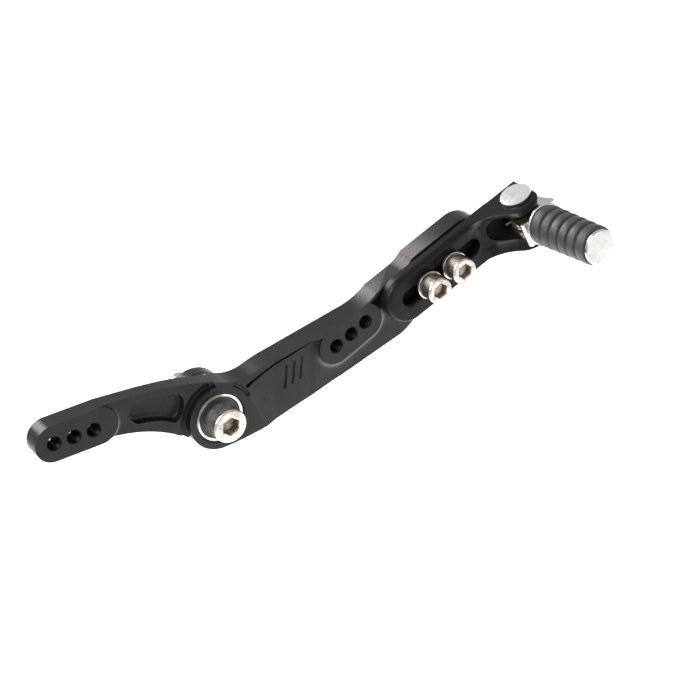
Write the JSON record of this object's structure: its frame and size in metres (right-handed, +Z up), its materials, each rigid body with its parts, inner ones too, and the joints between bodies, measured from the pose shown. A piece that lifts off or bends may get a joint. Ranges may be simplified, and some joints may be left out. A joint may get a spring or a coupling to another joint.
{
  "type": "motorcycle gear shift lever",
  "caption": "Gear shift lever on a sealed ball-bearing pivot, with linkage holes, a sliding toe piece and a folding rubber-covered toe peg.",
  "frame": {"origin": "on the pivot axis, in the plane of the lever arm's front (outboard) face", "axes": "+X from the pivot towards the toe peg, +Z up in the plane of the lever, -Y outboard, +Y towards the motorcycle"},
  "size_m": [0.2072, 0.0864, 0.0665],
  "materials": {
    "black_anodised": "satin black anodised, milled",
    "zinc_steel": "bright stainless",
    "bearing_steel": "ground",
    "seal_rubber": "matt",
    "cage_steel": "pressed",
    "polished_aluminium": "polished, turned",
    "peg_rubber": "moulded, matt",
    "spring_steel": "drawn wire"
  },
  "bodies": {
    "pivot_mount": {"pivot_bolt": "zinc_steel", "pivot_spacer": "black_anodised", "bearing_sleeve": "bearing_steel", "front_inner_race": "bearing_steel", "rear_inner_race": "bearing_steel"},
    "lever": {"lever_arm": "black_anodised", "front_outer_race": "bearing_steel", "rear_outer_race": "bearing_steel", "front_seal": "seal_rubber", "rear_seal": "seal_rubber", "clamp_screw_1": "zinc_steel", "clamp_screw_2": "zinc_steel", "clamp_washer_1": "zinc_steel", "clamp_washer_2": "zinc_steel"},
    "front_balls": {"front_cage": "cage_steel", "front_ball_1": "bearing_steel", "front_ball_2": "bearing_steel", "front_ball_3": "bearing_steel", "front_ball_4": "bearing_steel", "front_ball_5": "bearing_steel", "front_ball_6": "bearing_steel", "front_ball_7": "bearing_steel"},
    "rear_balls": {"rear_cage": "cage_steel", "rear_ball_1": "bearing_steel", "rear_ball_2": "bearing_steel", "rear_ball_3": "bearing_steel", "rear_ball_4": "bearing_steel", "rear_ball_5": "bearing_steel", "rear_ball_6": "bearing_steel", "rear_ball_7": "bearing_steel"},
    "toe_piece": {"toe_slider": "black_anodised", "hinge_pin": "polished_aluminium", "pin_circlip": "spring_steel", "torsion_spring": "spring_steel"},
    "peg": {"toe_peg": "polished_aluminium", "rubber_sleeve": "peg_rubber"}
  },
  "joints": [
    {"name": "lever_pivot", "type": "hinge", "parent": "pivot_mount", "child": "lever", "pos_m": [0, 0, 0], "axis": [0, 1, 0], "range_deg": [-15, 15]},
    {"name": "front_ball_roll", "type": "hinge", "parent": "pivot_mount", "child": "front_balls", "pos_m": [0, 0, 0], "axis": [0, 1, 0], "range_deg": [-9.2, 9.2]},
    {"name": "rear_ball_roll", "type": "hinge", "parent": "pivot_mount", "child": "rear_balls", "pos_m": [0, 0, 0], "axis": [0, 1, 0], "range_deg": [-9.2, 9.2]},
    {"name": "toe_adjust", "type": "slide", "parent": "lever", "child": "toe_piece", "axis": [1, 0, 0], "range_m": [0, 0.0083]},
    {"name": "peg_fold", "type": "hinge", "parent": "toe_piece", "child": "peg", "pos_m": [0.136, -0.0089, 0], "axis": [0, 0, -1], "range_deg": [0, 45], "stiffness_Nm_per_rad": 0.15, "springref_deg": -40.11, "deforming": ["torsion_spring"]}
  ],
  "couplings": [
    {"joint": "front_ball_roll", "follows": "lever_pivot", "ratio": 0.611},
    {"joint": "rear_ball_roll", "follows": "lever_pivot", "ratio": 0.611}
  ]
}
